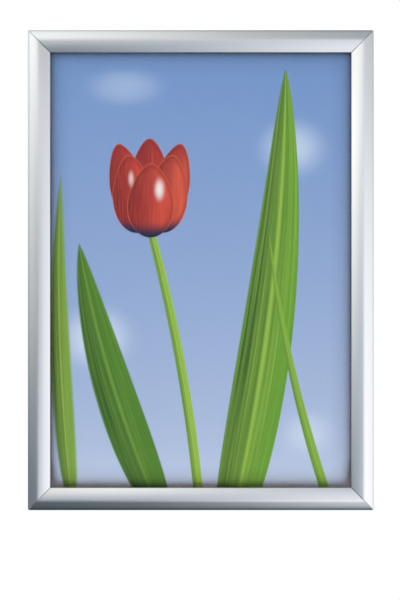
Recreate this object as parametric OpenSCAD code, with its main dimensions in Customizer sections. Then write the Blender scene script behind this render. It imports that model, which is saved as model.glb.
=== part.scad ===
// Snap frame for a poster. Four mitred base rails, joined by corner keys, carry a back panel,
// the poster and its clear cover sheet. Four hinged cover rails snap shut over the sheets'
// edges on bowed leaf springs, and flip open over centre.
// +Z is up and the front faces -Y. The origin is the middle of the frame, on the wall plane.
// A rail's section is drawn flat: x is the depth in from the frame's outer edge and y is the
// height off the wall. The rail then runs along z.

/* [Poster] */
// Width of the poster and of its cover sheet
poster_w = 297; // [250:1:600]
// Height of the poster and of its cover sheet
poster_h = 420; // [330:1:900]
// Thickness of the printed poster
poster_t = 0.2; // [0.1:0.05:0.4]
// Thickness of the clear cover sheet
sheet_t = 0.5; // [0.3:0.1:0.8]
// Thickness of the back panel
panel_t = 1; // [0.8:0.1:1.4]

/* [Rails] */
// Width of a closed rail, seen from the front
rail_w = 20.5; // [19.5:0.5:22]
// Distance from a closed rail's outer edge to its ridge
ridge_in = 8.6; // [8:0.1:9.5]
// Slope of the outer flank of a closed rail, in degrees
flank_a = 18; // [17:0.5:19]
// Height of the shelf under the panel off the wall
shelf_y = 1.5; // [0.8:0.1:1.8]
// Wall of a cover rail
cover_t = 1.1; // [0.9:0.05:1.2]
// Floor of a base rail
base_t = 1.1; // [0.9:0.05:1.3]
// Upright walls of a base rail
wall_t = 0.8; // [0.6:0.05:1]
// Radius of a cover rail's rounded ridge
ridge_r = 5; // [4:0.5:6]
// Radius of its broad face, between ridge and lip
face_r = 46; // [42:1:60]
// Radius of a cover rail's two outer edges
edge_r = 0.6; // [0.4:0.05:0.8]
// Height of the flat that is left on a cover rail's outer edge
edge_flat = 0.4; // [0.3:0.05:0.6]
// Gap from a cover rail's sawn end to its mitre plane
mitre_gap = 0.12; // [0.08:0.01:0.2]

/* [Hinge] */
// Radius of the round bead that a cover rail turns on
bead_r = 1.25; // [1.1:0.05:1.3]
// Radial clearance of the bead in its socket
bead_clear = 0.08; // [0.05:0.01:0.1]
// Wall of the socket
socket_t = 0.72; // [0.6:0.02:0.8]
// Depth of the socket inside the frame's outer edge
socket_in = 0.65; // [0.5:0.05:0.8]
// Thickness of the stem between bead and cover
stem_t = 0.6; // [0.5:0.05:0.65]
// Lean of the stem from the wall plane, in degrees
stem_a = 66; // [64:1:68]
// Angle that a cover rail opens through, in degrees
open_a = 90; // [80:1:92]

/* [Springs] */
// Thickness of a spring clip
clip_t = 0.4; // [0.3:0.05:0.45]
// Length of a spring clip along its rail
clip_l = 28; // [16:1:32]
// Play over a closed clip's bow, under the cover's plate
clip_over = 0.35; // [0.3:0.05:0.45]
// Distance from the frame's corner to the middle of the first clip
clip_in = 84; // [78:1:100]
// Number of clips in the top and in the bottom rail
short_clips = 2; // [1:1:3]
// Number of clips in each side rail
long_clips = 3; // [1:1:4]

/* [Corner joints] */
// Thickness of a corner key
key_t = 1.75; // [1.5:0.05:2]
// Length of a key's leg, from the frame's corner
key_l = 38; // [30:1:50]
// Side play of a key in its channel
key_play = 0.2; // [0.1:0.05:0.4]
// Radius of a grub screw
grub_r = 1.5; // [1.25:0.25:1.5]
// Length of a grub screw
grub_l = 2; // [1.8:0.1:2]
// Width of a grub screw's hexagon socket across its flats
socket_af = 1.5; // [1.3:0.1:1.5]
// Distance from the frame's corner to a grub screw
grub_in = 26; // [15:1:28]

/* [Wall fixing] */
// Radius of a wall screw's hole
hole_r = 1.7; // [1.5:0.1:2.2]
// Distance from the frame's side to a wall screw's hole
hole_in = 58.5; // [56:0.5:64]
// Width of the channel that the keys and screw heads lie in
channel_w = 6; // [5.8:0.1:6.4]

/* [Hidden] */
// Quarter turns about the middle of the frame that bring the bottom rail to each side,
// and the bottom left corner to each corner
BOTTOM = 0;
LEFT = BOTTOM + 1;
TOP = LEFT + 1;
RIGHT = TOP + 1;
side_names = ["bottom", "left", "top", "right"];
corner_names = ["bottom_left", "top_left", "top_right", "bottom_right"];
// Name, side and number of every spring clip, counted from the left or from the top
clips = [
    for (side = [BOTTOM : RIGHT], n = [1 : is_upright(side) ? long_clips : short_clips])
        [str("spring_clip_", side_names[side], "_", n), side, n]
];
$fn = 64;

// Overrun of every cut past the surface that it opens
cut = 1;
// Angle between the points of a rounded outline, in degrees
arc_a = 3;
// Gap between sawn base rails and their mitre plane
base_gap = 0.04;
// Play over a key, over the panel and under a closed lip
key_over = 0.1;
panel_over = 0.1;
lip_over = 0.1;
// Clearance of the open cover's skirt from the socket's neck, and at the corners
neck_clear = 0.3;
skirt_clear = 0.04;
// Angle from the stem at rest to the socket's mouth, and from the open stem, in degrees
mouth_rest_a = 20;
mouth_open_a = 18;

// Base rail, from its outer edge inwards
socket_r = bead_r + bead_clear + socket_t;
hinge_x = socket_in + socket_r;
hinge_y = base_t + key_t + key_over + socket_r;
foot_x = 0.6;
neck_x = cover_t + neck_clear;
channel_x = neck_x + wall_t;
channel_mid = channel_x + channel_w / 2;
rib_x = channel_x + channel_w;
rib_end = rib_x + wall_t;
// Flange that keeps a key down, short of the socket so that a hex key reaches the screws
flange_w = 1.8;
flange_over = 0.35;
flange_y = base_t + key_t + flange_over;
// Hook over the panel's edge
hook_w = 0.7;
hook_play = 0.3;
panel_play = 0.2;
shelf_t = base_t;
panel_y = shelf_y + shelf_t;
hook_y = panel_y + panel_t + panel_over;
poster_in = rib_end + hook_w + hook_play;
// Shelf under the panel, which ends in a foot behind the cover's lip
shelf_short = 1.5;
shelf_end = rail_w - shelf_short;
rear_foot_w = 1;

// The frame and its sheets
frame_w = poster_w + 2 * poster_in;
frame_h = poster_h + 2 * poster_in;
panel_w = frame_w - 2 * (rib_end + panel_play);
panel_h = frame_h - 2 * (rib_end + panel_play);
poster_y = panel_y + panel_t;
sheet_y = poster_y + poster_t;
lip_y = sheet_y + sheet_t + lip_over;

// Cover rail: a flat outer flank, a rounded ridge and a broad face that curves down to the lip
skirt_y = hinge_x + hinge_y + skirt_clear;
skirt_bevel = 0.8;
edge_y = skirt_y + edge_flat;
edge = [edge_r, edge_y];
ridge_y = edge_y + ((ridge_in - edge_r) * sin(flank_a) + edge_r - ridge_r) / cos(flank_a);
ridge = [ridge_in, ridge_y];
ridge_a = 4;
rail_d = ridge_y + ridge_r;
face = polar(ridge, ridge_r - face_r, 90 - ridge_a);
face_top_a = acos((rail_w - edge_r - face.x) / (face_r - edge_r));
face_under_a = acos((rail_w - cover_t - face.x) / (face_r - cover_t));
inner_edge = polar(face, face_r - edge_r, face_top_a);
flank_out = [-sin(flank_a), cos(flank_a)];
crest = ridge + ridge_r * flank_out;
lip = [rail_w - cover_t / 2, lip_y + cover_t / 2];

// Bead and stem of a cover rail, cut back from the mitres so that open neighbours clear
stem_dir = [cos(stem_a), sin(stem_a)];
stem_l = (flank_out * (crest - [hinge_x, hinge_y]) - cover_t / 2) / (flank_out * stem_dir);
bead_short = 7;

// Spring clips, between a slotted seat on the base and one under the cover
seat_r = 0.75;
seat_slot = 0.7;
seat_back = 0.1;
base_seat_in = 2.6;
base_seat_over = 2.1;
cover_seat_in = 9.9;
cover_seat_over = 1.9;
base_seat = [hinge_x + base_seat_in, hinge_y + base_seat_over];
cover_seat = [hinge_x + cover_seat_in, hinge_y + cover_seat_over];
arm_t = 0.8;
arm_a = 20;
web_in = 0.55;
web_x = cover_seat.x + web_in;
web_y = plate_y(web_x, cover_t / 2);
seat_mid = (base_seat + cover_seat) / 2;
clip_rise = plate_y(seat_mid.x, cover_t) - seat_mid.y - clip_t / 2 - clip_over;
chord = norm(cover_seat - base_seat);
chord_a = atan2(cover_seat.y - base_seat.y, cover_seat.x - base_seat.x);
clip_r = (chord * chord / 4 + clip_rise * clip_rise) / (2 * clip_rise);
bow_a = asin(chord / (2 * clip_r));
bow_mid = seat_mid + (clip_r - clip_rise) * [sin(chord_a), -cos(chord_a)];
clip_corner = 2;

// Corner keys and their screws
key_x = channel_x + key_play;
key_w = channel_w - 2 * key_play;
key_corner = 1.5;
grub_play = 0.05;
grub_socket_l = 1.2;
head_play = 0.1;

// A point at a distance and an angle from another
function polar(from, r, a) = from + r * [cos(a), sin(a)];

// Points along an arc, about every arc_a degrees
function arc(at, r, from_a, to_a) =
    let (steps = ceil(abs(to_a - from_a) / arc_a))
    [for (n = [0 : steps]) polar(at, r, from_a + (to_a - from_a) * n / steps)];

// All points but the first
function after_first(points) = [for (n = [1 : len(points) - 1]) points[n]];

// Height of a closed cover's plate at a place across the rail, at a depth below its face
function plate_y(x, below) =
    let (r = ridge_r - below, in = x - ridge.x)
    in < -r * sin(flank_a) ? ridge.y + r / cos(flank_a) + in * tan(flank_a)
        : in < r * sin(ridge_a) ? arc_y(ridge, r, x)
        : arc_y(face, face_r - below, x);
function arc_y(at, r, x) = at.y + sqrt(r * r - (x - at.x) * (x - at.x));

// A wedge between two angles less than a half turn apart, which reaches past a radius
module wedge(at, r, from_a, to_a) {
    reach = 4 * r;
    polygon([
        at, polar(at, reach, from_a), polar(at, reach, (from_a + to_a) / 2), polar(at, reach, to_a)
    ]);
}

// A straight strip from one point to another, centred on the line between them
module strip(from, to, t) {
    a = atan2(to.y - from.y, to.x - from.x);
    translate(from) rotate(a) translate([0, -t / 2]) square([norm(to - from), t]);
}

// The slot of a spring seat, open towards an angle
module seat_cut(at, a) {
    translate(at) rotate(a) translate([-seat_back, -seat_slot / 2]) square([seat_r + cut, seat_slot]);
}

// Whether a side stands upright, how long the frame is along it, and how deep across it
function is_upright(side) = side == LEFT || side == RIGHT;
function side_length(side) = is_upright(side) ? frame_h : frame_w;
function side_depth(side) = is_upright(side) ? frame_w : frame_h;

// Brings what is drawn for the bottom rail to a side of the frame
module on_side(side) {
    half = side_depth(side) / 2;
    rotate([0, 90 * side, 0]) translate([0, 0, -half]) rotate(a = 180, v = [1, 0, 1]) children();
}

// Runs a section along a rail and saws its ends to the frame's mitres
module mitred(length, gap) {
    half = length / 2 - gap * sqrt(2);
    intersection() {
        linear_extrude(length + 2 * cut, center = true) children();
        translate([0, rail_d + cut, 0]) rotate([90, 0, 0]) linear_extrude(rail_d + 2 * cut)
            polygon([
                [-cut, -half - cut], [rail_w + cut, rail_w + cut - half],
                [rail_w + cut, half - rail_w - cut], [-cut, half + cut]
            ]);
    }
}

// Section of a base rail: hinge socket, spring seat, key channel, panel groove and shelf
module base_section() {
    hinge = [hinge_x, hinge_y];
    translate([foot_x, 0]) square([rib_end - foot_x, base_t]);
    translate([neck_x, 0]) square([wall_t, hinge_y - socket_r + socket_t * 0.75]);
    difference() {
        circle_at(hinge, socket_r);
        circle_at(hinge, bead_r + bead_clear);
        wedge(hinge, socket_r, stem_a - mouth_rest_a, stem_a + open_a + mouth_open_a);
    }
    difference() {
        union() {
            circle_at(base_seat, seat_r);
            strip(polar(hinge, socket_r - socket_t / 2, arm_a), base_seat, arm_t);
        }
        seat_cut(base_seat, chord_a + bow_a);
    }
    translate([rib_x, 0]) square([wall_t, hook_y + wall_t]);
    translate([rib_x - flange_w, flange_y]) square([flange_w, wall_t]);
    translate([rib_x, hook_y]) square([wall_t + hook_w, wall_t]);
    translate([rib_x, panel_y - shelf_t]) square([shelf_end - rib_x, shelf_t]);
    translate([shelf_end - rear_foot_w, 0]) square([rear_foot_w, panel_y]);
}

module circle_at(at, r) {
    translate(at) circle(r);
}

module base_rail(side) {
    color("silver") on_side(side) difference() {
        mitred(side_length(side), base_gap) base_section();
        if (!is_upright(side))
            for (end = [-1, 1])
                translate([channel_mid, 0, end * (frame_w / 2 - hole_in)])
                    rotate([-90, 0, 0]) {
                        translate([0, 0, -cut]) cylinder(h = base_t + 2 * cut, r = hole_r);
                        translate([0, 0, base_t])
                            cylinder(h = rail_d, r = channel_w / 2 - head_play);
                    }
    }
}

// Section of a cover rail's plate, with the seat of its springs
module cover_section() {
    polygon(concat(
        [[0, skirt_y]],
        arc(edge, edge_r, 180, 90 + flank_a),
        arc(ridge, ridge_r, 90 + flank_a, 90 - ridge_a),
        after_first(arc(face, face_r, 90 - ridge_a, face_top_a)),
        after_first(arc(inner_edge, edge_r, face_top_a, 0)),
        arc(lip, cover_t / 2, 0, -180),
        arc(face, face_r - cover_t, face_under_a, 90 - ridge_a),
        after_first(arc(ridge, ridge_r - cover_t, 90 - ridge_a, 90 + flank_a)),
        [
            [cover_t, plate_y(cover_t, cover_t)],
            [cover_t, skirt_y - skirt_bevel], [skirt_bevel, skirt_y - skirt_bevel]
        ]
    ));
    difference() {
        union() {
            circle_at(cover_seat, seat_r);
            strip([web_x, cover_seat.y], [web_x, web_y], arm_t);
        }
        seat_cut(cover_seat, 180 + chord_a - bow_a);
    }
}

// Section of the bead that a cover rail turns on, and of its stem
module bead_section() {
    hinge = [hinge_x, hinge_y];
    circle_at(hinge, bead_r);
    strip(hinge, hinge + stem_l * stem_dir, stem_t);
}

module cover_rail(side) {
    color("gainsboro") on_side(side) {
        mitred(side_length(side), mitre_gap) cover_section();
        linear_extrude(side_length(side) - 2 * bead_short, center = true) bead_section();
    }
}

// A bowed leaf with clipped corners, its ends in the two seats
module spring_clip(side, n) {
    half = clip_l / 2;
    color("dimgray") on_side(side) translate([0, 0, clip_place(side, n)]) intersection() {
        linear_extrude(clip_l, center = true) intersection() {
            difference() {
                circle_at(bow_mid, clip_r + clip_t / 2);
                circle_at(bow_mid, clip_r - clip_t / 2);
            }
            wedge(bow_mid, clip_r, 90 + chord_a - bow_a, 90 + chord_a + bow_a);
        }
        translate([0, rail_d, 0]) rotate([90, 0, 0]) linear_extrude(rail_d)
            polygon([
                [0, 0], [base_seat.x, clip_corner - half], [base_seat.x + clip_corner, -half],
                [cover_seat.x - clip_corner, -half], [cover_seat.x, clip_corner - half],
                [rail_w, 0],
                [cover_seat.x, half - clip_corner], [cover_seat.x - clip_corner, half],
                [base_seat.x + clip_corner, half], [base_seat.x, half - clip_corner]
            ]);
    }
}

// Where a numbered clip sits along its rail, evenly between the two end ones
function clip_place(side, n) =
    let (
        count = is_upright(side) ? long_clips : short_clips,
        end_place = side_length(side) / 2 - clip_in,
        along = count > 1 ? end_place * (2 * (n - 1) / (count - 1) - 1) : 0
    )
    (side == TOP || side == RIGHT) ? -along : along;

// Brings what is drawn at the bottom left corner to a corner, by quarter turns
module on_corner(corner) {
    to_x = (corner == BOTTOM || corner == LEFT) ? -frame_w / 2 : frame_w / 2;
    to_z = (corner == BOTTOM || corner == RIGHT) ? -frame_h / 2 : frame_h / 2;
    translate([to_x, 0, to_z]) rotate([0, 90 * corner, 0]) children();
}

// Runs a shape drawn in the frame's plane forwards from a height off the wall
module forwards(from_y, t) {
    translate([0, -from_y, 0]) rotate([90, 0, 0]) linear_extrude(t) children();
}

// Where a key's two screws stand, from the frame's corner
grub_places = [[grub_in, channel_mid], [channel_mid, grub_in]];

// An L of flat bar that lies in the channels of two rails
module corner_key(corner) {
    color("darkgray") on_corner(corner) forwards(base_t, key_t) difference() {
        union() {
            translate([key_x, key_x]) square([key_l - key_x, key_w]);
            translate([key_x, key_x]) square([key_w, key_l - key_x]);
        }
        translate([key_x, key_x]) rotate(45) square(key_corner * sqrt(2), center = true);
        for (place = grub_places) circle_at(place, grub_r + grub_play);
    }
}

module corner_key_screws() {
    color("dimgray")
        for (corner = [0 : 3], place = grub_places)
            on_corner(corner) difference() {
                forwards(base_t, grub_l) circle_at(place, grub_r);
                forwards(base_t + grub_l - grub_socket_l, grub_socket_l + cut)
                    translate(place) circle(d = socket_af / cos(30), $fn = 6);
            }
}

module back_panel() {
    color("whitesmoke") forwards(panel_y, panel_t) square([panel_w, panel_h], center = true);
}

module poster() {
    color("lightsteelblue") forwards(poster_y, poster_t) square([poster_w, poster_h], center = true);
}

module cover_sheet() {
    color("aliceblue", 0.3) forwards(sheet_y, sheet_t) square([poster_w, poster_h], center = true);
}

for (side = [BOTTOM : RIGHT]) {
    base_rail(side);
    cover_rail(side);
    corner_key(side);
}
corner_key_screws();
back_panel();
poster();
cover_sheet();
for (clip = clips) {
    spring_clip(clip[1], clip[2]);
}
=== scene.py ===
# Snap frame for a poster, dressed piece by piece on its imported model, in the order of assembly.
# The pieces' lengths are in millimetres until a mesh or a material is made, the studio's in metres.
import math

import bpy
from mathutils import Matrix, Vector


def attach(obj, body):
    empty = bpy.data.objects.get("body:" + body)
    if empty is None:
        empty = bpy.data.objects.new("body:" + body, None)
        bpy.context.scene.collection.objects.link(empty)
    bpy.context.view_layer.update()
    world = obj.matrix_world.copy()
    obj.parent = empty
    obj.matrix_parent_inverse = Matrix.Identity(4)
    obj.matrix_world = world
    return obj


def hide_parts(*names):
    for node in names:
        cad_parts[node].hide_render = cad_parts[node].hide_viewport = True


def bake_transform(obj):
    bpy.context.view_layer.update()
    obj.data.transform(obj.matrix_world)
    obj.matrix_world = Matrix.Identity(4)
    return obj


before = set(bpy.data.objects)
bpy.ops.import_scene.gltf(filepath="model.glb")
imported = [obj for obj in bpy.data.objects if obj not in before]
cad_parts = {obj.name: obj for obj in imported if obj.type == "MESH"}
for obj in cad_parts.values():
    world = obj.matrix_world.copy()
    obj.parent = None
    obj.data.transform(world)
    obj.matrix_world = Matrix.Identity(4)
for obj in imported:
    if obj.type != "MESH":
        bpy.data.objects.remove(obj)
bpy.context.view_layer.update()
bpy.ops.object.select_all(action="DESELECT")

# Base rails: 6063 aluminium extrusions, mitred, drilled and anodised satin silver before assembly.
# They carry everything else and stay on the wall, so only an opened cover shows their front.
MM = 0.001
# A pattern's scale is its repeats in a metre: PER_METRE / 6 repeats about every 6 mm
PER_METRE = 1000
SIDES = ("bottom", "left", "top", "right")
UPRIGHT = ("left", "right")


def colour(code):
    """Turns an sRGB hex colour into linear red, green, blue and alpha."""
    parts = [int(code[at : at + 2], 16) / 255 for at in (1, 3, 5)]
    return (*(c / 12.92 if c <= 0.04045 else ((c + 0.055) / 1.055) ** 2.4 for c in parts), 1)


def put(tree, kind, links=None, **settings):
    """Adds a node. links gives its sockets a number, a colour, a socket, or another node, of which
    the first live output is taken. Sockets that share a name go by number: a Mix has its factor at
    0, its numbers at 2 and 3 and its colours at 6 and 7, and a Map Range goes from 1, 2 to 3, 4."""
    node = tree.nodes.new(kind)
    for name, value in settings.items():
        setattr(node, name, value)
    for socket, value in (links or {}).items():
        if isinstance(value, bpy.types.Node):
            value = next(out for out in value.outputs if out.enabled)
        if isinstance(value, bpy.types.NodeSocket):
            tree.links.new(value, node.inputs[socket])
        else:
            node.inputs[socket].default_value = value
    return node


def blank(name):
    """A material with an empty node tree, and its tree."""
    material = bpy.data.materials.new(name)
    material.use_nodes = True
    material.node_tree.nodes.clear()
    return material, material.node_tree


def wear(obj, *materials):
    """Gives a piece its materials in place of those it has."""
    obj.data.materials.clear()
    for material in materials:
        obj.data.materials.append(material)


def anodised(name, upright, tones, roughness, die_lines, painted_edge_shade=()):
    """Satin anodised extrusion. The caustic etch before anodising leaves it matt, and the die draws
    fine lines along it, so that light spreads across the rail and hardly along it. Painted edge
    shade darkens the colour in fine lines along the frame's outer edge; a line is where it begins
    and is deepest, across the rail, and its tint."""
    material, tree = blank(name)
    place = put(tree, "ShaderNodeTexCoord").outputs["Object"]
    # Die lines are some tenths of a millimetre wide and metres long. They are drawn 0.9 mm wide.
    # The etch bath leaves a broad, faint cloud some centimetres long.
    patterns = []
    for wide, long, detail, coarse in ((0.9, 400, 3, 0.6), (9, 70, 2, 0.5)):
        across, along = PER_METRE / wide, PER_METRE / long
        stretch = (across, across, along) if upright else (along, across, across)
        drawn = put(tree, "ShaderNodeMapping", {"Vector": place, "Scale": stretch})
        noise = {"Vector": drawn, "Scale": 1, "Detail": detail, "Roughness": coarse}
        patterns.append(put(tree, "ShaderNodeTexNoise", noise))
    lines, cloud = patterns
    both = put(tree, "ShaderNodeMix", {0: 0.35, 2: lines, 3: cloud}, data_type="FLOAT")
    tone = put(
        tree, "ShaderNodeMix", {0: both, 6: colour(tones[0]), 7: colour(tones[1])},
        data_type="RGBA",
    )
    # Painted shade: each line darkens the colour towards the frame's outer edge
    for begins, deepest, tint in painted_edge_shade:
        axes = put(tree, "ShaderNodeSeparateXYZ", {0: place})
        line = put(
            tree, "ShaderNodeMapRange",
            {"Value": axes.outputs["X" if upright else "Z"], 1: begins * MM, 2: deepest * MM},
            interpolation_type="SMOOTHSTEP",
        )
        tone = put(
            tree, "ShaderNodeMix", {0: line, 6: tone, 7: colour(tint)},
            data_type="RGBA", blend_type="MULTIPLY",
        )
    rough = put(
        tree, "ShaderNodeMapRange",
        {"Value": both, 1: 0.3, 2: 0.7, 3: roughness - 0.025, 4: roughness + 0.025},
    )
    grain = put(
        tree, "ShaderNodeBump", {"Height": lines, "Strength": die_lines, "Distance": 0.02 * MM}
    )
    spread = put(
        tree, "ShaderNodeCombineXYZ", {0: 1.0 if upright else 0.0, 2: 0.0 if upright else 1.0}
    )
    metal = put(
        tree, "ShaderNodeBsdfPrincipled",
        {"Base Color": tone, "Metallic": 1.0, "Roughness": rough, "Anisotropic": 0.55,
         "Tangent": spread, "Normal": grain},
    )
    put(tree, "ShaderNodeOutputMaterial", {"Surface": metal})
    return material


for side in SIDES:
    name, upright = "base_aluminium_" + side, side in UPRIGHT
    wear(
        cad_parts["base_rail_" + side],
        anodised(name, upright, ("#CFD0D2", "#DEDFE0"), 0.36, 0.5),
    )

# Corner keys: L pieces stamped from steel bar, bright zinc plated, with 3 mm grub screws in black
# oxide that lock them in the base rails' channels.


def clouded_steel(name, tones, cloud, detail, grit, roughness, bump):
    """Steel with a faint cloud of two tones in its finish and a fine grain. Cloud and grit are
    millimetres across, and roughness is where the grain is smoothest and where it is dullest."""
    material, tree = blank(name)
    place = put(tree, "ShaderNodeTexCoord").outputs["Object"]
    bloom = put(
        tree, "ShaderNodeTexNoise",
        {"Vector": place, "Scale": PER_METRE / cloud, "Detail": detail},
    )
    tone = put(
        tree, "ShaderNodeMix", {0: bloom, 6: colour(tones[0]), 7: colour(tones[1])},
        data_type="RGBA",
    )
    pits = put(
        tree, "ShaderNodeTexNoise", {"Vector": place, "Scale": PER_METRE / grit, "Detail": 2}
    )
    rough = put(tree, "ShaderNodeMapRange", {"Value": pits, 3: roughness[0], 4: roughness[1]})
    grain = put(tree, "ShaderNodeBump", {"Height": pits, "Strength": bump, "Distance": 0.02 * MM})
    metal = put(
        tree, "ShaderNodeBsdfPrincipled",
        {"Base Color": tone, "Metallic": 1.0, "Roughness": rough, "Normal": grain},
    )
    put(tree, "ShaderNodeOutputMaterial", {"Surface": metal})
    return material


# Bright zinc shines softly, with a bluish and a straw tone some millimetres across
zinc = clouded_steel(
    "zinc_plated_steel", ("#C9CED2", "#D8D4C6"), cloud=6, detail=4,
    grit=0.6, roughness=(0.24, 0.42), bump=0.4,
)
for corner in ("bottom_left", "top_left", "top_right", "bottom_right"):
    wear(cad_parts["corner_key_" + corner], zinc)

# Black oxide holds oil, which gives it an uneven, nearly black shine
oxide, tree = blank("black_oxide_steel")
place = put(tree, "ShaderNodeTexCoord").outputs["Object"]
oil = put(tree, "ShaderNodeTexNoise", {"Vector": place, "Scale": PER_METRE / 0.8, "Detail": 2})
tone = put(
    tree, "ShaderNodeMix", {0: oil, 6: colour("#1D1E21"), 7: colour("#34343A")}, data_type="RGBA"
)
rough = put(tree, "ShaderNodeMapRange", {"Value": oil, 3: 0.32, 4: 0.5})
metal = put(
    tree, "ShaderNodeBsdfPrincipled", {"Base Color": tone, "Metallic": 1.0, "Roughness": rough}
)
put(tree, "ShaderNodeOutputMaterial", {"Surface": metal})
wear(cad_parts["corner_key_screws"], oxide)

# Back panel: white high-impact polystyrene, extruded in sheet with an eggshell face and cut to
# size. It lies loose under the base rails' hooks and stiffens the poster.
styrene, tree = blank("white_polystyrene_sheet")
place = put(tree, "ShaderNodeTexCoord").outputs["Object"]
# The eggshell face breaks up the gloss in dimples of some 1.6 mm
shell = put(tree, "ShaderNodeTexNoise", {"Vector": place, "Scale": PER_METRE / 1.6, "Detail": 3})
# The sheet leaves its rollers with faint bands up its length
rolled = put(
    tree, "ShaderNodeMapping",
    {"Vector": place, "Scale": (PER_METRE / 14, PER_METRE / 14, PER_METRE / 600)},
)
bands = put(tree, "ShaderNodeTexNoise", {"Vector": rolled, "Scale": 1, "Detail": 3})
tone = put(
    tree, "ShaderNodeMix", {0: bands, 6: colour("#E9E9E6"), 7: colour("#F3F3F1")},
    data_type="RGBA",
)
rough = put(tree, "ShaderNodeMapRange", {"Value": bands, 3: 0.36, 4: 0.52})
grain = put(tree, "ShaderNodeBump", {"Height": shell, "Strength": 0.35, "Distance": 0.05 * MM})
plastic = put(
    tree, "ShaderNodeBsdfPrincipled",
    {"Base Color": tone, "Roughness": rough, "IOR": 1.59, "Normal": grain},
)
put(tree, "ShaderNodeOutputMaterial", {"Surface": plastic})
wear(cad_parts["back_panel"], styrene)

# Cover rails: aluminium extrusions like the base rails, mitred, with a finer satin face. The round
# bead of each turns in its base rail's socket, and a slotted seat takes one end of its springs.
HALF_WIDTH, HALF_HEIGHT = 158.5, 220
RAIL_W, PLATE = 20.5, 1.1
# A point of the section is its depth in from the frame's edge and its height off the wall. The
# section is traced from the skirt up the flank, over the ridge and down the face to the lip. An arc
# has its radius where it is needed, its centre, and how far it leans, in degrees, where it ends.
EDGE_R, EDGE_Y, SKIRT_Y, SKIRT_BEVEL = 0.6, 8.14, 7.74, 0.8
FLANK_R, FLANK, FLANK_FOOT, FLANK_TOP = 66.16, (23.7543, -53.1949), 20.682, 14.498
RIDGE = (9.1943, 3.1131)
FACE_R, FACE, FACE_TOP = 44.5, (6.2257, -33.266), 4.665
INNER_EDGE = (19.9, 8.45)
LIP = (19.95, 4.95)
# The web under the face holds the springs' slotted seat. BOW is half the turn of a spring's bow.
WEB = (12.75, 13.55)
BASE_SEAT, SEAT, SEAT_R, SLOT, SLOT_BACK = (5.3, 7.1), (12.6, 6.9), 0.75, 0.7, 0.1
BOW = 67.676
# The bead turns about the hinge's line, and ends short of the frame's corners
HINGE = (2.7, 5.0)
BEAD_R, BEAD_SHORT = 1.25, 7
STEM, STEM_LEAN, STEM_L = 0.6, 66, 4.9
SAWN_OFF, MITRE_GAP, EASED_EDGE = 1, 0.2, 0.1
# Points nearer than this are one, a facet of an arc turns 2 degrees, and edges up to 30 look smooth
WELD, FACET, SMOOTH = 0.002, 2, math.radians(30)


def turned(at, r, angle):
    """A point at a distance and an angle from another, in the section."""
    return at[0] + r * math.cos(math.radians(angle)), at[1] + r * math.sin(math.radians(angle))


def start_at(name, along, depth, height):
    """Starts a mesh with one point on the bottom side, that far along from its middle, and leaves
    it in edit mode."""
    bpy.ops.mesh.primitive_plane_add(size=MM)
    piece = bpy.context.object
    piece.name = name
    bpy.ops.object.mode_set(mode="EDIT")
    bpy.ops.mesh.select_all(action="SELECT")
    bpy.ops.mesh.merge(type="CENTER")
    bpy.ops.transform.translate(value=(along * MM, -height * MM, depth * MM))
    return piece


def trace(name, start, path):
    """Draws a closed outline at the middle of the bottom side, on its section. A move in the path
    is a point, or a centre and an angle to turn by."""
    piece = start_at(name, 0, *start)
    here = start
    for move in path:
        if len(move) == 2:
            step = (0, (here[1] - move[1]) * MM, (move[0] - here[0]) * MM)
            bpy.ops.mesh.extrude_region_move(TRANSFORM_OT_translate={"value": step})
            here = move
        else:
            centre, angle = move[:2], move[2]
            bpy.ops.mesh.spin(
                steps=max(3, math.ceil(abs(angle) / FACET)), angle=math.radians(angle),
                center=(0, -centre[1] * MM, centre[0] * MM), axis=(-1, 0, 0),
            )
            out = Vector(here) - Vector(centre)
            out.rotate(Matrix.Rotation(math.radians(angle), 2))
            here = tuple(Vector(centre) + out)
    bpy.ops.mesh.select_all(action="SELECT")
    bpy.ops.mesh.remove_doubles(threshold=WELD * MM)
    bpy.ops.mesh.edge_face_add()
    bpy.ops.object.mode_set(mode="OBJECT")
    return piece


def draw_out(piece, length):
    """Runs a traced outline along the bottom side, centred on the middle, and closes its ends."""
    bpy.ops.object.mode_set(mode="EDIT")
    bpy.ops.mesh.select_all(action="SELECT")
    bpy.ops.transform.translate(value=(-length / 2 * MM, 0, 0))
    bpy.ops.mesh.extrude_region_move(TRANSFORM_OT_translate={"value": (length * MM, 0, 0)})
    bpy.ops.mesh.select_all(action="SELECT")
    bpy.ops.mesh.normals_make_consistent(inside=False)
    bpy.ops.object.mode_set(mode="OBJECT")


def saw_mitres(piece, half_length):
    """Saws both ends at 45 degrees, a little short of the mitre planes."""
    bpy.ops.object.mode_set(mode="EDIT")
    for end in (-1, 1):
        bpy.ops.mesh.select_all(action="SELECT")
        bpy.ops.mesh.bisect(
            plane_co=(end * (half_length - MITRE_GAP * math.sqrt(2)) * MM, 0, 0),
            plane_no=(end, 0, 1), use_fill=True, clear_outer=True,
        )
    bpy.ops.object.mode_set(mode="OBJECT")


def finish_with(piece, kind, **settings):
    """Adds a modifier and applies it."""
    modifier = piece.modifiers.new(kind.lower(), kind)
    for name, value in settings.items():
        setattr(modifier, name, value)
    bpy.context.view_layer.objects.active = piece
    bpy.ops.object.modifier_apply(modifier=modifier.name)


def smooth(piece):
    """Shades a piece smooth across all but its sharp edges."""
    bpy.ops.object.select_all(action="DESELECT")
    piece.select_set(True)
    bpy.ops.object.shade_smooth_by_angle(angle=SMOOTH)


def copy_of(piece, name):
    """A copy of a piece with its own mesh."""
    twin = piece.copy()
    twin.data = piece.data.copy()
    twin.name = name
    bpy.context.collection.objects.link(twin)
    return twin


def to_side(piece, number, depth):
    """Turns what is drawn at the middle of the bottom side to its own side of the frame."""
    piece.data.transform(Matrix.Translation((0, 0, -depth * MM)))
    piece.data.transform(Matrix.Rotation(math.radians(90 * number), 4, "Y"))


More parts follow.
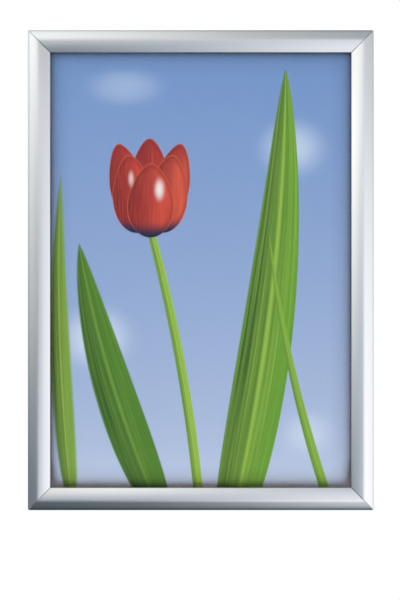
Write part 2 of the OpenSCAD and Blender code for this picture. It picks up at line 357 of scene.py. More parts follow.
def cover_outline():
    """The section of the plate, from the foot of its skirt over the ridge to the lip and back
    under it, with the web and the seat."""
    under_face = FACE_R - PLATE
    foot = math.degrees(math.acos((PLATE - FLANK[0]) / (FLANK_R - PLATE)))
    face_end = math.degrees(math.acos((INNER_EDGE[0] - FACE[0]) / (FACE_R - EDGE_R)))
    under_lip, web_in, web_out = (
        math.degrees(math.acos((depth - FACE[0]) / under_face))
        for depth in (RAIL_W - PLATE, WEB[1], WEB[0])
    )
    entry = math.degrees(math.atan2(SEAT[1] - BASE_SEAT[1], SEAT[0] - BASE_SEAT[0])) - BOW + 180
    lips = math.degrees(math.asin(SLOT / 2 / SEAT_R))
    on_web = math.degrees(math.acos((WEB[0] - SEAT[0]) / SEAT_R))
    slot_side = (
        -SLOT / 2 * math.sin(math.radians(entry)), SLOT / 2 * math.cos(math.radians(entry))
    )
    heel = turned(SEAT, -SLOT_BACK, entry)
    return (0, SKIRT_Y), [
        (0, EDGE_Y), (EDGE_R, EDGE_Y, FLANK_FOOT - 90),
        (*FLANK, FLANK_TOP - FLANK_FOOT), (*RIDGE, -FLANK_TOP - FACE_TOP),
        (*FACE, face_end + FACE_TOP - 90), (*INNER_EDGE, -face_end),
        (RAIL_W, LIP[1]), (*LIP, -180),
        turned(FACE, under_face, under_lip), (*FACE, web_in - under_lip),
        (WEB[1], SEAT[1]), (SEAT[0] + SEAT_R, SEAT[1]), (*SEAT, entry + lips - 360),
        (heel[0] + slot_side[0], heel[1] + slot_side[1]),
        (heel[0] - slot_side[0], heel[1] - slot_side[1]),
        turned(SEAT, SEAT_R, entry - lips), (*SEAT, on_web - entry + lips),
        turned(FACE, under_face, web_out), (*FACE, 90 - FACE_TOP - web_out),
        (*RIDGE, FLANK_TOP + FACE_TOP), (*FLANK, foot - 90 - FLANK_TOP),
        (PLATE, SKIRT_Y - SKIRT_BEVEL), (SKIRT_BEVEL, SKIRT_Y - SKIRT_BEVEL), (0, SKIRT_Y),
    ]


def bead_outline():
    """The section of the bead and its stem, which runs half way into the plate."""
    grip = math.degrees(math.asin(STEM / 2 / BEAD_R))
    root = turned(HINGE, STEM_L, STEM_LEAN)
    start = turned(HINGE, BEAD_R, STEM_LEAN + grip)
    return start, [
        (*HINGE, 360 - 2 * grip),
        turned(root, STEM / 2, STEM_LEAN - 90), turned(root, STEM / 2, STEM_LEAN + 90), start,
    ]


# The saw leaves bare metal with fine, curved marks on the mitred ends
sawn, tree = blank("sawn_aluminium")
place = put(tree, "ShaderNodeTexCoord").outputs["Object"]
# The teeth's marks are about 0.05 mm apart. They are drawn 0.4 mm apart.
marks = put(
    tree, "ShaderNodeTexWave",
    {"Vector": place, "Scale": PER_METRE / 8, "Distortion": 2.5, "Detail": 2},
)
tone = put(
    tree, "ShaderNodeMix", {0: marks, 6: colour("#BFC1C4"), 7: colour("#DADBDC")},
    data_type="RGBA",
)
grain = put(tree, "ShaderNodeBump", {"Height": marks, "Strength": 0.5, "Distance": 0.02 * MM})
metal = put(
    tree, "ShaderNodeBsdfPrincipled",
    {"Base Color": tone, "Metallic": 1.0, "Roughness": 0.42, "Normal": grain},
)
put(tree, "ShaderNodeOutputMaterial", {"Surface": metal})

# Painted shade: the satin face's colour is darkened in a fine line along the frame's outer edges,
# most at its foot. The painted lines of the level rails come first.
PAINTED_EDGE_SHADE = {
    False: ((-217, -219, "#A8C6CE"), (217.6, 219, "#E7ECEB")),
    True: ((-156, -157.4, "#E3EAEC"), (156.2, 157.4, "#F5F6F7")),
}
for upright, half_length, depth in (
    (False, HALF_WIDTH, HALF_HEIGHT), (True, HALF_HEIGHT, HALF_WIDTH),
):
    plate = trace("cover_plate", *cover_outline())
    draw_out(plate, 2 * (half_length + SAWN_OFF))
    saw_mitres(plate, half_length)
    satin = anodised(
        "cover_aluminium_upright" if upright else "cover_aluminium_level", upright,
        ("#D9DADC", "#E4E5E6"), 0.3, 0.4, PAINTED_EDGE_SHADE[upright],
    )
    wear(plate, satin, sawn)
    # The sawn ends face out along the rail and in towards the window
    for face in plate.data.polygons:
        if abs(face.normal.x) > 0.5 and face.normal.z > 0.5:
            face.material_index = 1
    finish_with(
        plate, "BEVEL", width=EASED_EDGE * MM, segments=2, limit_method="ANGLE",
        angle_limit=math.radians(35), use_clamp_overlap=False,
    )
    bead = trace("bead", *bead_outline())
    draw_out(bead, 2 * (half_length - BEAD_SHORT))
    finish_with(plate, "BOOLEAN", operation="UNION", solver="EXACT", object=bead)
    bpy.data.objects.remove(bead)
    smooth(plate)
    finish_with(plate, "WEIGHTED_NORMAL", keep_sharp=True)
    for number, side in enumerate(SIDES):
        if (side in UPRIGHT) != upright:
            continue
        rail = copy_of(plate, "hinged_rail_" + side)
        to_side(rail, number, depth)
        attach(rail, "cover_" + side)
        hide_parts("cover_rail_" + side)
    bpy.data.objects.remove(plate)

# Springs: bowed leaves of tempered steel strip with clipped corners, blue grey from the furnace.
# Each sits in a slot of the base rail and one of the cover, and bends over centre as it turns.
LEAF, LEAF_LONG, LEAF_CORNER, LEAF_EDGE, LEAF_STEPS = 0.4, 28, 2, 0.06, 28
# Where they sit along the level rails and along the upright ones, from the middle
CLIP_PLACES = {False: (-74.5, 74.5), True: (-136, 0, 136)}
chord = math.dist(BASE_SEAT, SEAT)
chord_lean = math.degrees(math.atan2(SEAT[1] - BASE_SEAT[1], SEAT[0] - BASE_SEAT[0]))
bow_r = chord / 2 / math.sin(math.radians(BOW))
bow_mid = turned(BASE_SEAT, bow_r, 90 + chord_lean + BOW + 180)
# The furnace leaves a blue and straw cloud, some millimetres across
tempered = clouded_steel(
    "tempered_spring_steel", ("#6E7884", "#9A958C"), cloud=9, detail=3,
    grit=0.8, roughness=(0.26, 0.42), bump=0.3,
)
leaf = start_at("spring_leaf", -LEAF_LONG / 2, *BASE_SEAT)
bpy.ops.mesh.spin(
    steps=LEAF_STEPS, angle=math.radians(-2 * BOW),
    center=(0, -bow_mid[1] * MM, bow_mid[0] * MM), axis=(-1, 0, 0),
)
bpy.ops.mesh.select_all(action="SELECT")
bpy.ops.mesh.extrude_region_move(TRANSFORM_OT_translate={"value": (LEAF_LONG * MM, 0, 0)})
for end in (-1, 1):
    for seat, out in ((BASE_SEAT, -1), (SEAT, 1)):
        clipped = (end * (LEAF_LONG - LEAF_CORNER) / 2, 0, seat[0] - out * LEAF_CORNER / 2)
        bpy.ops.mesh.select_all(action="SELECT")
        bpy.ops.mesh.bisect(
            plane_co=tuple(at * MM for at in clipped), plane_no=(end, 0, out), clear_outer=True,
        )
bpy.ops.mesh.select_all(action="SELECT")
bpy.ops.mesh.remove_doubles(threshold=WELD * MM)
bpy.ops.mesh.normals_make_consistent(inside=False)
bpy.ops.object.mode_set(mode="OBJECT")
finish_with(leaf, "SOLIDIFY", thickness=LEAF * MM, offset=0)
finish_with(
    leaf, "BEVEL", width=LEAF_EDGE * MM, segments=2, limit_method="ANGLE",
    angle_limit=math.radians(40),
)
smooth(leaf)
wear(leaf, tempered)
for number, side in enumerate(SIDES):
    upright = side in UPRIGHT
    depth = HALF_WIDTH if upright else HALF_HEIGHT
    # Clips are counted from the left, or from the head down
    way = -1 if side in ("top", "right") else 1
    turn = Matrix.Rotation(math.radians(90 * number), 3, "Y")
    for count, along in enumerate(CLIP_PLACES[upright], 1):
        spring = copy_of(leaf, f"leaf_spring_{side}_{count}")
        spring.data.transform(Matrix.Translation((way * along * MM, 0, 0)))
        to_side(spring, number, depth)
        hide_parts(f"spring_clip_{side}_{count}")
        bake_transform(spring)
bpy.data.objects.remove(leaf)

# Poster: 170 g coated paper with a full-colour offset print, a tulip against a blue sky. The back
# and the cut edges stay white. It lies on the back panel, under the clear sheet.
print_ink, tree = blank("printed_coated_paper")
spot = put(tree, "ShaderNodeTexCoord")
on_print = put(
    tree, "ShaderNodeVectorMath", {0: spot.outputs["Object"], "Scale": PER_METRE},
    operation="SCALE",
)
axes = put(tree, "ShaderNodeSeparateXYZ", {0: on_print})
print_x, print_z = axes.outputs["X"], axes.outputs["Z"]
# A spot goes this far through the sheet, so that depth doesn't count
ANY_DEPTH = 1000


def spot_print(under, middle, size, ink, strength):
    """A blurred round spot of ink."""
    near = put(
        tree, "ShaderNodeMapping",
        {"Vector": on_print, "Location": (middle[0], 0, middle[1]),
         "Scale": (size[0], ANY_DEPTH, size[1])},
        vector_type="TEXTURE",
    )
    far = put(tree, "ShaderNodeVectorMath", {0: near}, operation="LENGTH").outputs["Value"]
    mask = put(
        tree, "ShaderNodeMapRange", {"Value": far, 1: 0.0, 2: 1.0, 3: strength, 4: 0.0},
        interpolation_type="SMOOTHERSTEP",
    )
    return put(tree, "ShaderNodeMix", {0: mask, 6: under, 7: colour(ink)}, data_type="RGBA")


def leaf_print(under, root, tip, bend, half_width, inks, swell, soft):
    """A long leaf from its root to its tip, with a bend to one side, a midrib and fine veins. Inks
    are the dark side's, the light side's and the midrib's. Swell is how fast it widens from its
    root and how fast it narrows to its tip, and soft is the blur of its edge."""
    way = put(tree, "ShaderNodeMapRange", {"Value": print_z, 1: root[1], 2: tip[1]})
    curve = put(
        tree, "ShaderNodeMath", {0: way, 1: -bend, 2: tip[0] - root[0] + bend},
        operation="MULTIPLY_ADD",
    )
    middle = put(tree, "ShaderNodeMath", {0: way, 1: curve, 2: root[0]}, operation="MULTIPLY_ADD")
    rise = put(tree, "ShaderNodeMath", {0: way, 1: swell[0]}, operation="POWER")
    left = put(tree, "ShaderNodeMath", {0: 1.0, 1: way}, operation="SUBTRACT")
    fall = put(tree, "ShaderNodeMath", {0: left, 1: swell[1]}, operation="POWER")
    peak = swell[0] / (swell[0] + swell[1])
    most = peak ** swell[0] * (1 - peak) ** swell[1]
    shape = put(tree, "ShaderNodeMath", {0: rise, 1: fall}, operation="MULTIPLY")
    half = put(tree, "ShaderNodeMath", {0: shape, 1: half_width / most}, operation="MULTIPLY")
    away = put(tree, "ShaderNodeMath", {0: print_x, 1: middle}, operation="SUBTRACT")
    span = put(tree, "ShaderNodeMath", {0: away}, operation="ABSOLUTE")
    room = put(tree, "ShaderNodeMath", {0: half, 1: span}, operation="SUBTRACT")
    mask = put(
        tree, "ShaderNodeMapRange", {"Value": room, 1: 0.0, 2: 2 * soft},
        interpolation_type="SMOOTHSTEP",
    )
    wide = put(tree, "ShaderNodeMath", {0: half, 1: 0.5}, operation="MAXIMUM")
    u = put(tree, "ShaderNodeMath", {0: away, 1: wide}, operation="DIVIDE")
    lit_side = put(
        tree, "ShaderNodeMapRange", {"Value": u, 1: -0.9, 2: 1.0},
        interpolation_type="SMOOTHSTEP",
    )
    ink = put(
        tree, "ShaderNodeMix", {0: lit_side, 6: colour(inks[0]), 7: colour(inks[1])},
        data_type="RGBA",
    )
    # Veins are many across the leaf and few along it
    vein_place = put(tree, "ShaderNodeCombineXYZ", {0: u, 2: way})
    drawn = put(tree, "ShaderNodeMapping", {"Vector": vein_place, "Scale": (8, 1, 1.6)})
    noise = {"Vector": drawn, "Scale": 1, "Detail": 4, "Roughness": 0.65}
    veins = put(tree, "ShaderNodeTexNoise", noise)
    faint = put(tree, "ShaderNodeMapRange", {"Value": veins, 1: 0.35, 2: 0.7, 3: 0.0, 4: 0.55})
    centre = put(tree, "ShaderNodeMath", {0: u}, operation="ABSOLUTE")
    midrib = put(tree, "ShaderNodeMapRange", {"Value": centre, 1: 0.02, 2: 0.14, 3: 0.7, 4: 0.0})
    rim = put(tree, "ShaderNodeMapRange", {"Value": centre, 1: 0.8, 2: 1.0, 3: 0.0, 4: 0.45})
    for part, tone in ((faint, inks[2]), (midrib, inks[2]), (rim, inks[1])):
        ink = put(tree, "ShaderNodeMix", {0: part, 6: ink, 7: colour(tone)}, data_type="RGBA")
    return put(tree, "ShaderNodeMix", {0: mask, 6: under, 7: ink}, data_type="RGBA")


def petal_print(under, middle, turn, half_width, half_length, inks):
    """An egg-shaped petal with fine streaks up it. Inks are its shaded side's, its lit side's and
    its foot's."""
    own = put(
        tree, "ShaderNodeMapping",
        {"Vector": on_print, "Location": (middle[0], 0, middle[1]),
         "Rotation": (0, math.radians(turn), 0), "Scale": (half_width, 1, half_length)},
        vector_type="TEXTURE",
    )
    parts = put(tree, "ShaderNodeSeparateXYZ", {0: own})
    up = parts.outputs["Z"]
    egg = put(tree, "ShaderNodeMath", {0: up, 1: -0.24, 2: 1.0}, operation="MULTIPLY_ADD")
    u = put(tree, "ShaderNodeMath", {0: parts.outputs["X"], 1: egg}, operation="DIVIDE")
    out = put(tree, "ShaderNodeMath", {0: u}, operation="ABSOLUTE")
    wide = put(tree, "ShaderNodeMath", {0: out, 1: 1.85}, operation="POWER")
    rise = put(tree, "ShaderNodeMath", {0: up}, operation="ABSOLUTE")
    tall = put(tree, "ShaderNodeMath", {0: rise, 1: 1.85}, operation="POWER")
    reach = put(tree, "ShaderNodeMath", {0: wide, 1: tall}, operation="ADD")
    mask = put(
        tree, "ShaderNodeMapRange", {"Value": reach, 1: 1.03, 2: 0.98},
        interpolation_type="SMOOTHSTEP",
    )
    lit_side = put(
        tree, "ShaderNodeMapRange", {"Value": u, 1: -0.9, 2: 0.9},
        interpolation_type="SMOOTHSTEP",
    )
    ink = put(
        tree, "ShaderNodeMix", {0: lit_side, 6: colour(inks[0]), 7: colour(inks[1])},
        data_type="RGBA",
    )
    # Each petal's streaks start elsewhere in the pattern
    streak_place = put(tree, "ShaderNodeCombineXYZ", {0: u, 2: up})
    shift = {"Vector": streak_place, "Scale": (6, 1, 0.8), "Location": (*middle, 0)}
    drawn = put(tree, "ShaderNodeMapping", shift)
    noise = {"Vector": drawn, "Scale": 1, "Detail": 4, "Roughness": 0.6}
    streaks = put(tree, "ShaderNodeTexNoise", noise)
    faint = put(tree, "ShaderNodeMapRange", {"Value": streaks, 1: 0.45, 2: 0.75, 3: 0.0, 4: 0.5})
    shift = {"Vector": streak_place, "Scale": (26, 1, 1.1), "Location": (*middle, 5)}
    drawn = put(tree, "ShaderNodeMapping", shift)
    fine = put(tree, "ShaderNodeTexNoise", {"Vector": drawn, "Scale": 1, "Detail": 2})
    shine = put(tree, "ShaderNodeMapRange", {"Value": fine, 1: 0.5, 2: 0.72, 3: 0.0, 4: 0.45})
    rim = put(tree, "ShaderNodeMapRange", {"Value": reach, 1: 0.66, 2: 0.93, 3: 0.0, 4: 0.6})
    lip = put(tree, "ShaderNodeMapRange", {"Value": reach, 1: 0.93, 2: 0.99, 3: 0.0, 4: 0.55})
    foot = put(
        tree, "ShaderNodeMapRange", {"Value": up, 1: -0.5, 2: -0.95, 3: 0.0, 4: 1.0},
        interpolation_type="SMOOTHSTEP",
    )
    for part, tone in (
        (faint, inks[0]), (shine, "#F0653A"), (rim, inks[0]), (lip, "#F07A4A"), (foot, inks[2]),
    ):
        ink = put(tree, "ShaderNodeMix", {0: part, 6: ink, 7: colour(tone)}, data_type="RGBA")
    return put(tree, "ShaderNodeMix", {0: mask, 6: under, 7: ink}, data_type="RGBA")


height = put(tree, "ShaderNodeMapRange", {"Value": print_z, 1: -200.0, 2: 200.0})
clear_air = put(tree, "ShaderNodeMath", {0: height, 1: 0.5}, operation="POWER")
picture = put(
    tree, "ShaderNodeMix", {0: clear_air, 6: colour("#D0D3E3"), 7: colour("#7694C3")},
    data_type="RGBA",
)
for middle, size, strength in (
    ((84, 112), (42, 36), 0.5), ((-96, -62), (46, 40), 0.62),
    ((98, -150), (34, 30), 0.35), ((-70, 168), (50, 24), 0.25),
):
    picture = spot_print(picture, middle, size, "#F2F4F6", strength)
DARK_GREEN, LEAF_GREEN, PALE_GREEN = "#2F5A14", "#62991F", "#A9C84A"
SHADE_RED, LIT_RED, NAVY = "#8E1A1C", "#D9402F", "#1A2140"
BROAD = (0.35, 0.75)
# Leaves and the stem, from the ones behind to the ones in front
for blade in (
    ((-118, -215), (-128, 96), -26, 11, ("#3F6B1C", "#7FA53A", "#A9C050"), BROAD, 1.6),
    ((-36, -225), (-112, 26), -34, 21, (DARK_GREEN, "#4E7F1C", "#7CA23A"), BROAD, 1.0),
    ((0, -230), (-47, 40), 26, 5, ("#4B7A18", "#9DBF3C", "#B9D35A"), (0.001, 0.06), 0.5),
    ((24, -250), (78, 186), 52, 25, (DARK_GREEN, LEAF_GREEN, PALE_GREEN), BROAD, 0.5),
    ((118, -214), (62, 40), -30, 5, ("#4E7F1C", "#86AE2E", PALE_GREEN), (0.05, 0.6), 0.5),
):
    picture = leaf_print(picture, *blade)
# Six petals about the cup, the three at the back first
for middle, turn, half_width, half_length, lit_ink in (
    ((-47, 86), 0, 18, 35, "#B32C26"), ((-67, 80), -14, 17, 37, "#C0342A"),
    ((-27, 80), 14, 17, 37, "#D04A34"), ((-62, 70), -7, 19, 36, LIT_RED),
    ((-31, 70), 9, 19, 36, "#E25A3E"), ((-46, 64), 1, 21, 34, "#DE4B36"),
):
    inks = (SHADE_RED, lit_ink, NAVY)
    picture = petal_print(picture, middle, turn, half_width, half_length, inks)
for middle, size, strength in (((-38, 74), (7, 15), 0.85), ((-64, 84), (4, 11), 0.6)):
    picture = spot_print(picture, middle, size, "#FFF6EE", strength)
# The paper takes the ink a little unevenly. The screen's dots are 0.15 mm apart, drawn at 0.9 mm.
screen = put(
    tree, "ShaderNodeTexNoise",
    {"Vector": spot.outputs["Object"], "Scale": PER_METRE / 0.9, "Detail": 1},
)
tint = put(tree, "ShaderNodeMapRange", {"Value": screen, 1: 0.3, 2: 0.7, 3: 0.97, 4: 1.03})
picture = put(tree, "ShaderNodeVectorMath", {0: picture, "Scale": tint}, operation="SCALE")
facing = put(tree, "ShaderNodeSeparateXYZ", {0: spot.outputs["Normal"]})
front = put(tree, "ShaderNodeMath", {0: facing.outputs["Y"], 1: -0.5}, operation="LESS_THAN")
sheet = put(
    tree, "ShaderNodeMix", {0: front, 6: colour("#F1F1EE"), 7: picture}, data_type="RGBA"
)
# Its silk coating gives a dull, even sheen
paper = put(
    tree, "ShaderNodeBsdfPrincipled",
    {"Base Color": sheet, "Roughness": 0.5, "Specular IOR Level": 0.12},
)
put(tree, "ShaderNodeOutputMaterial", {"Surface": paper})
wear(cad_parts["poster"], print_ink)

# Clear cover sheet: low-glare PVC, cut to the poster's size. It lies over the print under the lips
# of the covers and bows a little between them. A painted shadow beside the lips, from the covers'
# ambient occlusion, darkens what is seen through it.
SHEET, SHEET_EDGE = (297, 420), 0.06
SHEET_BACK, SHEET_FRONT = 3.82, 4.3
bpy.ops.mesh.primitive_cube_add(size=MM)
clear_sheet = bpy.context.object
clear_sheet.name = "clear_front_sheet"
bpy.ops.object.mode_set(mode="EDIT")
bpy.ops.transform.resize(value=(SHEET[0], SHEET_FRONT - SHEET_BACK, SHEET[1]))
bpy.ops.transform.translate(value=(0, -(SHEET_FRONT + SHEET_BACK) / 2 * MM, 0))
bpy.ops.object.mode_set(mode="OBJECT")
finish_with(clear_sheet, "BEVEL", width=SHEET_EDGE * MM, segments=1, limit_method="ANGLE")
clear_face, tree = blank("low_glare_pvc_face")
place = put(tree, "ShaderNodeTexCoord").outputs["Object"]
# Painted shadow: ambient occlusion from the covers' lips, within 20 mm, darkens the see-through
# tint
near = put(tree, "ShaderNodeAmbientOcclusion", {"Distance": 20 * MM}, samples=16)
hidden = put(tree, "ShaderNodeMath", {0: 1.0, 1: near.outputs["AO"]}, operation="SUBTRACT")
soft = put(tree, "ShaderNodeMath", {0: hidden, 1: 0.8}, operation="POWER")
# The painted shadow is deeper towards the foot, and never quite black
up = put(tree, "ShaderNodeSeparateXYZ", {0: place}).outputs["Z"]
slope = put(
    tree, "ShaderNodeMapRange", {"Value": up, 1: -200 * MM, 2: 200 * MM, 3: 1.7, 4: 1.3}
)
at_foot = put(
    tree, "ShaderNodeMapRange", {"Value": up, 1: -200 * MM, 2: -172 * MM, 3: 1.6, 4: 0.0}
)
depth = put(tree, "ShaderNodeMath", {0: slope, 1: at_foot}, operation="ADD")
shade = put(tree, "ShaderNodeMath", {0: soft, 1: depth}, operation="MULTIPLY")
shade = put(tree, "ShaderNodeMath", {0: shade, 1: 0.88}, operation="MINIMUM")
# The painted shadow darkens only rays that meet the face from the front, such as the eye's, so that
# the light falling on the print is not darkened as well
behind = put(tree, "ShaderNodeNewGeometry").outputs["Backfacing"]
shade = put(tree, "ShaderNodeMix", {0: behind, 2: shade, 3: 0.0}, data_type="FLOAT")
tint = put(
    tree, "ShaderNodeMix", {0: shade, 6: (1, 1, 1, 1), 7: (0.2, 0.14, 0.1, 1)}, data_type="RGBA"
)
see = put(tree, "ShaderNodeBsdfTransparent", {"Color": tint})
# The sheet bows between its edges in waves of some centimetres
bowed = put(tree, "ShaderNodeTexNoise", {"Vector": place, "Scale": PER_METRE / 90, "Detail": 1})
wave = put(tree, "ShaderNodeBump", {"Height": bowed, "Strength": 0.4, "Distance": 1.2 * MM})
shine = put(tree, "ShaderNodeBsdfAnisotropic", {"Roughness": 0.22, "Normal": wave})
fresnel = put(tree, "ShaderNodeFresnel", {"IOR": 1.53})
# Its fine matt face gives back under a third of what a polished one would
glare = put(tree, "ShaderNodeMath", {0: fresnel, 1: 0.3}, operation="MULTIPLY")
both = put(tree, "ShaderNodeMixShader", {0: glare, 1: see, 2: shine})
put(tree, "ShaderNodeOutputMaterial", {"Surface": both})
clear_edge, tree = blank("clear_pvc_edge")
see = put(tree, "ShaderNodeBsdfTransparent", {"Color": colour("#F6FAFC")})
put(tree, "ShaderNodeOutputMaterial", {"Surface": see})
wear(clear_sheet, clear_edge, clear_face)
for face in clear_sheet.data.polygons:
    if face.normal.y < -0.9:
        face.material_index = 1
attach(clear_sheet, "frame")
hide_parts("cover_sheet")

# Studio: a pale floor under the hung frame, a white surround, and a tent of lit cards, which only
# the polished and satin faces reflect. The camera looks straight on from 4 m.
# The tent is a cube of this side, and the floor's plane lies a little below it
TENT, FLOOR, FLOOR_BELOW = 3.2, 10, 0.05
bpy.ops.mesh.primitive_plane_add(size=FLOOR, location=(0, 0, -TENT / 2 - FLOOR_BELOW))
floor = bpy.context.object
floor.name = "studio_floor"
painted, tree = blank("pale_floor_paint")
place = put(tree, "ShaderNodeTexCoord").outputs["Object"]
dust = put(tree, "ShaderNodeTexNoise", {"Vector": place, "Scale": 3, "Detail": 3})
tone = put(
    tree, "ShaderNodeMix", {0: dust, 6: colour("#DEDFE0"), 7: colour("#E6E6E7")},
    data_type="RGBA",
)
paint = put(tree, "ShaderNodeBsdfPrincipled", {"Base Color": tone, "Roughness": 0.6})
# Its rim fades into the white surround for the eye, so that no edge shows behind the frame
far = put(tree, "ShaderNodeVectorMath", {0: place}, operation="LENGTH").outputs["Value"]
rim = put(
    tree, "ShaderNodeMapRange", {"Value": far, 1: 1.8, 2: 4.8}, interpolation_type="SMOOTHSTEP"
)
seen = put(tree, "ShaderNodeLightPath").outputs["Is Camera Ray"]
haze = put(tree, "ShaderNodeMath", {0: rim, 1: seen}, operation="MULTIPLY")
white = put(tree, "ShaderNodeEmission", {"Color": (1, 1, 1, 1), "Strength": 1.0})
paint = put(tree, "ShaderNodeMixShader", {0: haze, 1: paint, 2: white})
put(tree, "ShaderNodeOutputMaterial", {"Surface": paint})
wear(floor, painted)

# The front card is lit at its upper left and lower right, dark at its lower left and grey between,
# in a near ring and a far one
front_light, tree = blank("lit_front_card")
place = put(tree, "ShaderNodeTexCoord").outputs["Object"]
axes = put(tree, "ShaderNodeSeparateXYZ", {0: place})
across, up = axes.outputs["X"], axes.outputs["Y"]
far = put(tree, "ShaderNodeVectorMath", {0: place}, operation="LENGTH").outputs["Value"]
# A fade has what it runs over, its middle and its half width
fades = {}
for name, over, middle, half in (
    ("to_right", across, 0, 0.15),
    ("left_rise", up, -0.063, 0.169),
    ("right_rise", up, 0.136, 0.371),
    ("low_near", across, 0.029, 0.131),
    ("low_far", across, 0.096, 0.089),
    ("top", across, -0.031, 0.139),
    ("to_far", far, 0.636, 0.082),
    ("from_foot", up, -0.9, 0.2),
    ("to_head", up, 1.015, 0.075),
):
    fades[name] = put(
        tree, "ShaderNodeMapRange", {"Value": over, 1: middle - half, 2: middle + half},
        interpolation_type="SMOOTHSTEP",
    )
to_top = put(
    tree, "ShaderNodeMix",
    {0: fades["to_right"], 2: fades["left_rise"], 3: fades["right_rise"]}, data_type="FLOAT",
)
# A ring has the tones of its quarters, lower left and right first, then upper
rings = []
for low_fade, low_left, low_right, top_left, top_right in (
    ("low_near", (0.22, 0.29, 0.34, 1), (1.31, 1.33, 1.38, 1),
     (1.72, 1.68, 1.55, 1), (0.54, 0.58, 0.65, 1)),
    ("low_far", (0.0, 0.03, 0.065, 1), (1.63, 1.64, 1.68, 1),
     (1.64, 1.66, 1.65, 1), (0.385, 0.41, 0.43, 1)),
):
    low = put(
        tree, "ShaderNodeMix", {0: fades[low_fade], 6: low_left, 7: low_right}, data_type="RGBA"
    )
    top = put(
        tree, "ShaderNodeMix", {0: fades["top"], 6: top_left, 7: top_right}, data_type="RGBA"
    )
    rings.append(put(tree, "ShaderNodeMix", {0: to_top, 6: low, 7: top}, data_type="RGBA"))
field = put(
    tree, "ShaderNodeMix", {0: fades["to_far"], 6: rings[0], 7: rings[1]}, data_type="RGBA"
)


def clear_of(middle, reach):
    """Rises smoothly from 0 in the middle of an oval to 1 at its reach, on the card in hand."""
    near = put(
        tree, "ShaderNodeMapping",
        {"Vector": place, "Location": (*middle, 0), "Scale": (*reach, 1)},
        vector_type="TEXTURE",
    )
    away = put(tree, "ShaderNodeVectorMath", {0: near}, operation="LENGTH").outputs["Value"]
    return put(
        tree, "ShaderNodeMapRange", {"Value": away, 1: 0.0, 2: 1.0},
        interpolation_type="SMOOTHSTEP",
    )


def held_back(light, middle, reach, left_there):
    """Holds light back in a soft oval."""
    oval = put(
        tree, "ShaderNodeMix", {0: clear_of(middle, reach), 6: left_there, 7: (1, 1, 1, 1)},
        data_type="RGBA",
    )
    return put(
        tree, "ShaderNodeMix", {0: 1.0, 6: light, 7: oval},
        data_type="RGBA", blend_type="MULTIPLY",
    )


# The lens shows as a soft dark oval, and two stands keep some light off: middle, reach and tone
LENS, LENS_REACH, LENS_TONE = (-0.1, -0.058), (0.302, 0.344), (0.16, 0.24, 0.38, 1)
field = put(
    tree, "ShaderNodeMix", {0: clear_of(LENS, LENS_REACH), 6: LENS_TONE, 7: field},
    data_type="RGBA",
)
for stand in (
    ((0.4, -0.218), (0.391, 0.099), (0.79, 0.79, 0.79, 1)),
    ((1.15, -0.25), (0.5, 0.4), (0.68, 0.66, 0.69, 1)),
):
    field = held_back(field, *stand)
# It darkens towards its foot and its head, to these shares
FOOT_LEFT, HEAD_LEFT = 0.02, 0.82
foot = put(
    tree, "ShaderNodeMix", {0: fades["from_foot"], 2: FOOT_LEFT, 3: 1.0}, data_type="FLOAT"
)
head = put(
    tree, "ShaderNodeMix", {0: fades["to_head"], 2: 1.0, 3: HEAD_LEFT}, data_type="FLOAT"
)
level = put(tree, "ShaderNodeMath", {0: foot, 1: head}, operation="MULTIPLY")
glow = put(tree, "ShaderNodeEmission", {"Color": field, "Strength": level})
put(tree, "ShaderNodeOutputMaterial", {"Surface": glow})

# Two soft black nets hang in front of the frame, and hold light off its left side and its head:
# middle, reach and what they let through
nets, tree = blank("black_nets")
place = put(tree, "ShaderNodeTexCoord").outputs["Object"]
passed = (1, 1, 1, 1)
for net in (
    ((-0.293, 0.027), (0.246, 0.371), (0.37, 0.37, 0.37, 1)),
    ((-0.113, 0.289), (0.237, 0.164), (0.5, 0.5, 0.5, 1)),
):
    passed = held_back(passed, *net)
see = put(tree, "ShaderNodeBsdfTransparent", {"Color": passed})
put(tree, "ShaderNodeOutputMaterial", {"Surface": see})

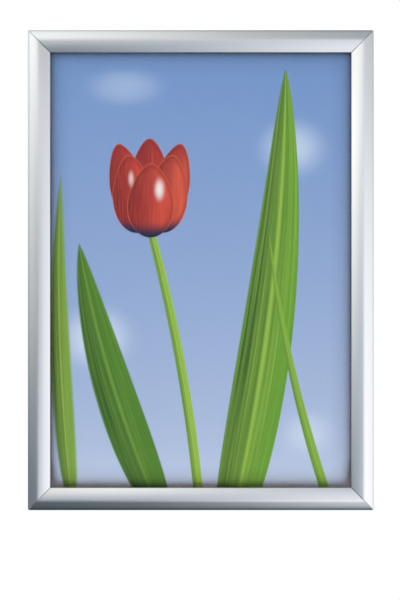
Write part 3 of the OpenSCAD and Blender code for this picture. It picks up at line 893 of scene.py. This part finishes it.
# The side cards fade along their length from one tone to another about a middle
FRONT_AWAY, NETS_AWAY, SIDE_FADE = 1, 0.3, 0.4
cards = [
    ("front_card", (0, -FRONT_AWAY, 0), (90, 0, 0), front_light),
    ("net_frame", (0, -NETS_AWAY, 0), (90, 0, 0), nets),
]
for name, middle, turn, start, end, fade_middle in (
    ("low_card", (0, 0, -TENT / 2), (0, 0, 0),
     (0.0, 0.012, 0.016, 1), (0.02, 0.09, 0.12, 1), 0.1),
    ("high_card", (0, 0, TENT / 2), (0, 0, 0),
     (0.62, 0.65, 0.65, 1), (0.07, 0.15, 0.15, 1), -0.05),
    ("left_card", (-TENT / 2, 0, 0), (0, 90, 0),
     (0.66, 0.68, 0.7, 1), (0.02, 0.08, 0.09, 1), 0.1),
    ("right_card", (TENT / 2, 0, 0), (0, 90, 0),
     (0.5, 0.52, 0.54, 1), (0.56, 0.58, 0.6, 1), -0.1),
):
    light, tree = blank("lit_" + name)
    place = put(tree, "ShaderNodeTexCoord").outputs["Object"]
    length = put(tree, "ShaderNodeSeparateXYZ", {0: place}).outputs["X"]
    fade = put(
        tree, "ShaderNodeMapRange",
        {"Value": length, 1: fade_middle - SIDE_FADE, 2: fade_middle + SIDE_FADE},
        interpolation_type="SMOOTHSTEP",
    )
    tone = put(tree, "ShaderNodeMix", {0: fade, 6: start, 7: end}, data_type="RGBA")
    glow = put(tree, "ShaderNodeEmission", {"Color": tone, "Strength": 1.0})
    put(tree, "ShaderNodeOutputMaterial", {"Surface": glow})
    cards.append((name, middle, turn, light))
for name, middle, turn, light in cards:
    bpy.ops.mesh.primitive_plane_add(
        size=TENT, location=middle, rotation=tuple(math.radians(angle) for angle in turn)
    )
    card = bpy.context.object
    card.name = name
    wear(card, light)
    card.visible_camera = card.visible_diffuse = False
    card.visible_shadow = card.visible_transmission = False

world = bpy.data.worlds.new("studio_surround")
bpy.context.scene.world = world
world.use_nodes = True
tree = world.node_tree
tree.nodes.clear()
seen = put(tree, "ShaderNodeBackground", {"Color": (1, 1, 1, 1), "Strength": 1.0})
# The room is bright in front of the frame and half as bright behind it
toward = put(tree, "ShaderNodeTexCoord").outputs["Generated"]
axes = put(tree, "ShaderNodeSeparateXYZ", {0: toward})
room = put(
    tree, "ShaderNodeMapRange", {"Value": axes.outputs["Y"], 1: -0.25, 2: 0.35, 3: 1.6, 4: 0.72},
    interpolation_type="SMOOTHSTEP",
)
around = put(tree, "ShaderNodeBackground", {"Color": colour("#EEF1F4"), "Strength": room})
path = put(tree, "ShaderNodeLightPath")
both = put(tree, "ShaderNodeMixShader", {0: path.outputs["Is Camera Ray"], 1: around, 2: seen})
put(tree, "ShaderNodeOutputWorld", {"Surface": both})
bpy.context.scene.view_settings.view_transform = "Standard"

# A pixel of the photo is this wide on the rails' faces, 8 mm off the wall. The film's long side
# stands upright, as the photo's does, and the camera aims these many pixels off the frame's middle.
PIXEL, PHOTO_HEIGHT, FACES = 0.9169 * MM, 600, 8 * MM
FILM, CAMERA_AWAY = 36, 4
OFF_X, OFF_Z = -0.8, -29.85
lens = bpy.data.cameras.new("photo_camera")
lens.sensor_width = FILM
lens.lens = FILM * (CAMERA_AWAY - FACES) / (PHOTO_HEIGHT * PIXEL)
camera = bpy.data.objects.new("photo_camera", lens)
bpy.context.collection.objects.link(camera)
camera.location = (OFF_X * PIXEL, -CAMERA_AWAY, OFF_Z * PIXEL)
camera.rotation_euler = (math.radians(90), 0, 0)
bpy.context.scene.camera = camera
